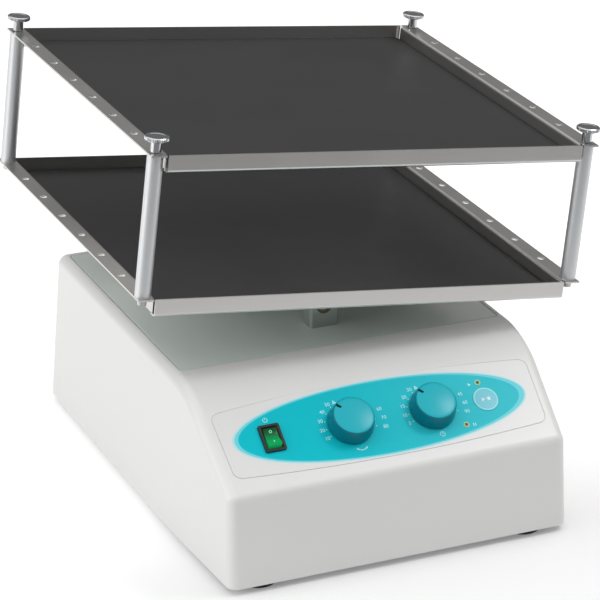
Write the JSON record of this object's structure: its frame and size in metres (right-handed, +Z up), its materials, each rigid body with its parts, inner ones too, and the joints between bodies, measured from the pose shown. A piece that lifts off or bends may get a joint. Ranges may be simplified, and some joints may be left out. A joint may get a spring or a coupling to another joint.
{
  "type": "rocking platform shaker",
  "caption": "Laboratory rocking shaker: two stacked matted trays on posts tilt from side to side on a crank-driven shaft above a moulded housing with a sloping control panel.",
  "frame": {"origin": "on the bench, under the middle of the housing's footprint", "axes": "+X to the right of someone at the control panel, +Y to the rear, +Z up; the rocking axis lies along +Y"},
  "size_m": [0.3433, 0.3761, 0.3044],
  "materials": {
    "housing_abs": "smooth moulded shell, faint satin sheen",
    "base_sheet": "powder coated sheet",
    "foot_rubber": "moulded, dull",
    "screw_steel": "zinc plated",
    "deck_paint": "fine satin coat, grey green",
    "overlay_film": "printed film, light gloss",
    "switch_black": "moulded nylon",
    "rocker_green": "translucent, lit from behind",
    "knob_teal": "fine satin",
    "pot_plastic": "moulded",
    "pot_metal": "turned",
    "lamp_green": "clear tinted lens",
    "lamp_amber": "clear tinted lens",
    "button_pale": "embossed film over a cap",
    "board_green": "lacquered board",
    "supply_case": "folded vented sheet",
    "inlet_black": "moulded nylon",
    "pin_brass": "nickel plated blades",
    "motor_paint": "plain drawn can",
    "gear_alloy": "die cast",
    "bracket_steel": "plated sheet",
    "shaft_steel": "ground",
    "pedestal_alloy": "machined, lightly bead blasted",
    "bush_bronze": "sintered bronze",
    "tray_steel": "brushed stainless sheet, folded",
    "mat_rubber": "smooth non-slip mat, satin",
    "post_alloy": "turned satin rod",
    "thumb_chrome": "polished, with a knurled rim"
  },
  "bodies": {
    "base": {"housing_shell": "housing_abs", "base_plate": "base_sheet", "base_screws": "screw_steel", "rubber_feet": "foot_rubber", "foot_screws": "screw_steel", "deck_plate": "deck_paint", "control_overlay": "overlay_film", "switch_body": "switch_black", "speed_pot_body": "pot_plastic", "time_pot_body": "pot_plastic", "pot_nuts": "pot_metal", "run_lamp": "lamp_green", "hold_lamp": "lamp_amber", "button_switch": "switch_black", "control_board": "board_green", "board_screws": "screw_steel", "power_supply": "supply_case", "power_inlet": "inlet_black", "inlet_pins": "pin_brass", "inlet_screws": "screw_steel", "motor": "motor_paint", "gearbox": "gear_alloy", "motor_bracket": "bracket_steel", "bracket_screws": "screw_steel", "front_pedestal": "pedestal_alloy", "rear_pedestal": "pedestal_alloy", "pedestal_screws": "screw_steel", "front_bush": "bush_bronze", "rear_bush": "bush_bronze"},
    "rocker": {"rocker_shaft": "shaft_steel", "shaft_clips": "screw_steel", "drive_lever": "pedestal_alloy", "set_screws": "screw_steel", "carrier_front_bracket": "bracket_steel", "carrier_rear_bracket": "bracket_steel", "carrier_plate": "bracket_steel", "carrier_screws": "screw_steel", "lower_tray": "tray_steel", "lower_mat": "mat_rubber", "upper_tray": "tray_steel", "upper_mat": "mat_rubber", "post_front_left": "post_alloy", "post_front_right": "post_alloy", "post_rear_left": "post_alloy", "post_rear_right": "post_alloy", "post_screws": "screw_steel"},
    "crank": {"output_shaft": "shaft_steel", "crank_disc": "bracket_steel", "crank_pin": "shaft_steel", "pin_roller": "bush_bronze"},
    "speed_control": {"speed_knob": "knob_teal", "speed_pot_shaft": "pot_metal"},
    "time_control": {"time_knob": "knob_teal", "time_pot_shaft": "pot_metal"},
    "power_rocker": {"power_rocker": "rocker_green"},
    "start_stop_button": {"start_stop_button": "button_pale"},
    "thumb_front_left": {"thumb_front_left": "thumb_chrome"},
    "thumb_front_right": {"thumb_front_right": "thumb_chrome"},
    "thumb_rear_left": {"thumb_rear_left": "thumb_chrome"},
    "thumb_rear_right": {"thumb_rear_right": "thumb_chrome"}
  },
  "joints": [
    {"name": "platform_rock", "type": "hinge", "parent": "base", "child": "rocker", "pos_m": [0, 0.041, 0.14], "axis": [0, 1, 0], "range_deg": [-14, 0]},
    {"name": "crank_turn", "type": "hinge", "parent": "base", "child": "crank", "pos_m": [0, 0.0485, 0.085], "axis": [0, 1, 0], "range_deg": [-180.1, 0]},
    {"name": "speed_knob_turn", "type": "hinge", "parent": "base", "child": "speed_control", "pos_m": [-0.0238, -0.14789, 0.09445], "axis": [0, -0.5962, 0.8028], "range_deg": [-190, 110]},
    {"name": "time_knob_turn", "type": "hinge", "parent": "base", "child": "time_control", "pos_m": [0.0371, -0.14789, 0.09445], "axis": [0, -0.5962, 0.8028], "range_deg": [-190, 110]},
    {"name": "power_rocker_tip", "type": "hinge", "parent": "base", "child": "power_rocker", "pos_m": [-0.0808, -0.14729, 0.09365], "axis": [1, 0, 0], "range_deg": [0, 14]},
    {"name": "start_stop_press", "type": "slide", "parent": "base", "child": "start_stop_button", "axis": [0, 0.5962, -0.8028], "range_m": [0, 0.0005], "stiffness_N_per_m": 800, "springref_m": -0.0008},
    {"name": "thumb_front_left_turn", "type": "hinge", "parent": "rocker", "child": "thumb_front_left", "pos_m": [-0.14164, -0.1038, 0.2921], "axis": [0.1219, 0, 0.9925], "continuous": true},
    {"name": "thumb_front_right_turn", "type": "hinge", "parent": "rocker", "child": "thumb_front_right", "pos_m": [0.17423, -0.1038, 0.25331], "axis": [0.1219, 0, 0.9925], "continuous": true},
    {"name": "thumb_rear_left_turn", "type": "hinge", "parent": "rocker", "child": "thumb_rear_left", "pos_m": [-0.14164, 0.1858, 0.2921], "axis": [0.1219, 0, 0.9925], "continuous": true},
    {"name": "thumb_rear_right_turn", "type": "hinge", "parent": "rocker", "child": "thumb_rear_right", "pos_m": [0.17423, 0.1858, 0.25331], "axis": [0.1219, 0, 0.9925], "continuous": true}
  ],
  "couplings": [
    {"joint": "crank_turn", "follows": "platform_rock", "ratio": 12.857}
  ]
}
